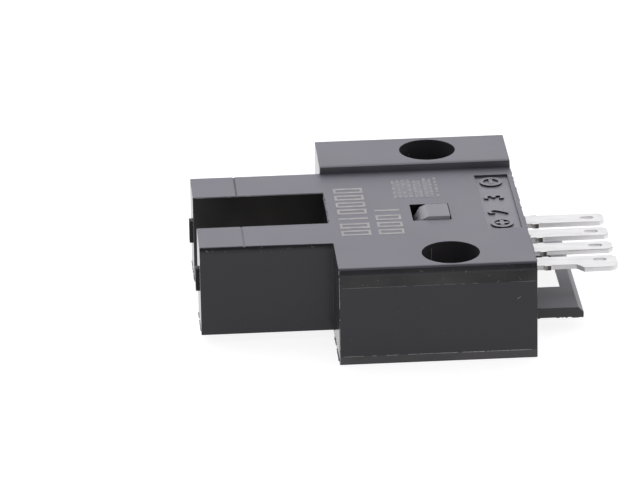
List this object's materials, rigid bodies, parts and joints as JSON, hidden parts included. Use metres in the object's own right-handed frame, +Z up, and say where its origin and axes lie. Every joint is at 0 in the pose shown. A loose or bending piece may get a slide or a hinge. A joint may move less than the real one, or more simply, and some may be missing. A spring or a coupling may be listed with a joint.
{
  "type": "slotted optical switch",
  "caption": "Forked sensor housing that watches a slot between its arms, with a screw flange on each side and flat solder terminals over a plug locking loop.",
  "frame": {"origin": "under the middle of the whole part, on the mounting face", "axes": "+X from the fork to the terminals, +Y to the raised flange, +Z up from the mounting face to the label face"},
  "size_m": [0.0256, 0.0204, 0.0066],
  "materials": {
    "housing_moulding": "satin black moulding",
    "carrier_moulding": "smooth black moulding",
    "tinned_terminal": "matt tin plate",
    "tinned_lead": "tin plate",
    "board_laminate": "solder mask",
    "optic_resin": "dark infrared resin",
    "lamp_resin": "red diffused resin",
    "chip_black": "moulding compound",
    "chip_ceramic": "fired ceramic"
  },
  "bodies": {
    "root": {"housing": "housing_moulding", "carrier": "carrier_moulding", "terminal_1": "tinned_terminal", "terminal_2": "tinned_terminal", "terminal_3": "tinned_terminal", "terminal_4": "tinned_terminal", "circuit_board": "board_laminate", "emitter": "optic_resin", "receiver": "optic_resin", "emitter_lead_1": "tinned_lead", "emitter_lead_2": "tinned_lead", "receiver_lead_1": "tinned_lead", "receiver_lead_2": "tinned_lead", "receiver_lead_3": "tinned_lead", "indicator_led": "lamp_resin", "output_transistor": "chip_black", "zener_diode": "chip_black", "emitter_resistor": "chip_black", "indicator_resistor": "chip_black", "supply_capacitor": "chip_ceramic"}
  },
  "joints": []
}
